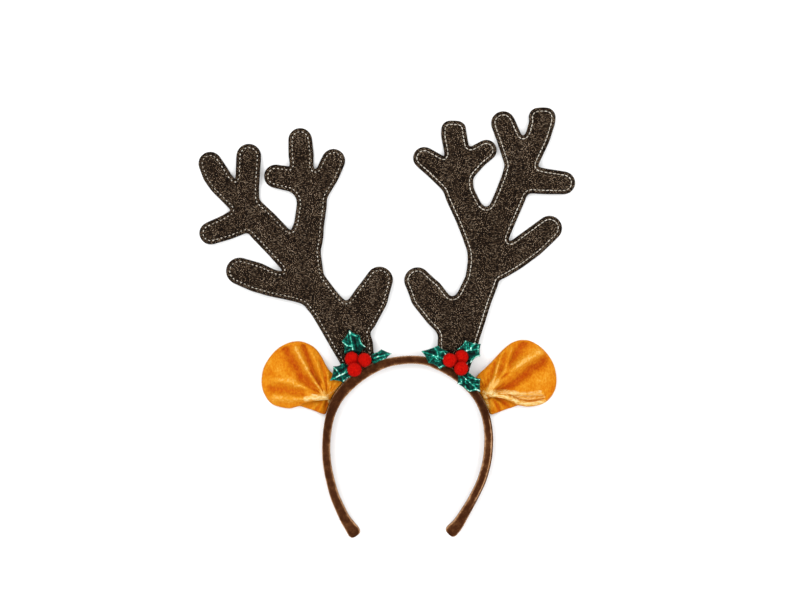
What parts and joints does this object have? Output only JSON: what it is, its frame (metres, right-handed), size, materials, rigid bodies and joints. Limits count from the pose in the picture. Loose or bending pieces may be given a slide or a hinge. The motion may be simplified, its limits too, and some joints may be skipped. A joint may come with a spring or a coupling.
{
  "type": "reindeer antler headband",
  "caption": "Costume headband: padded antlers, folded velvet ears and holly sprigs with berries on a velour-covered hoop, lying on its back.",
  "frame": {"origin": "middle of the whole part's plan at X = Y = 0, with Z = 0 on the surface that it lies on", "axes": "+Z out of the headband's front, +Y from the hoop up to the antler tips, +X to the right seen from the front"},
  "size_m": [0.2894, 0.33, 0.0226],
  "materials": {
    "headband": "short-pile brown velour",
    "antler": "dark brown fabric with fine sparkle and pale topstitching",
    "ear": "orange velvet",
    "holly": "metallic green fabric",
    "berry": "red felt"
  },
  "bodies": {
    "root": {"headband": "headband", "antler_left": "antler", "antler_right": "antler", "ear_left": "ear", "ear_right": "ear", "holly_left_top": "holly", "holly_left_inner": "holly", "holly_left_outer": "holly", "holly_right_inner": "holly", "holly_right_top": "holly", "holly_right_outer": "holly", "berry_left_a": "berry", "berry_left_b": "berry", "berry_left_c": "berry", "berry_right_a": "berry", "berry_right_b": "berry", "berry_right_c": "berry"}
  },
  "joints": []
}
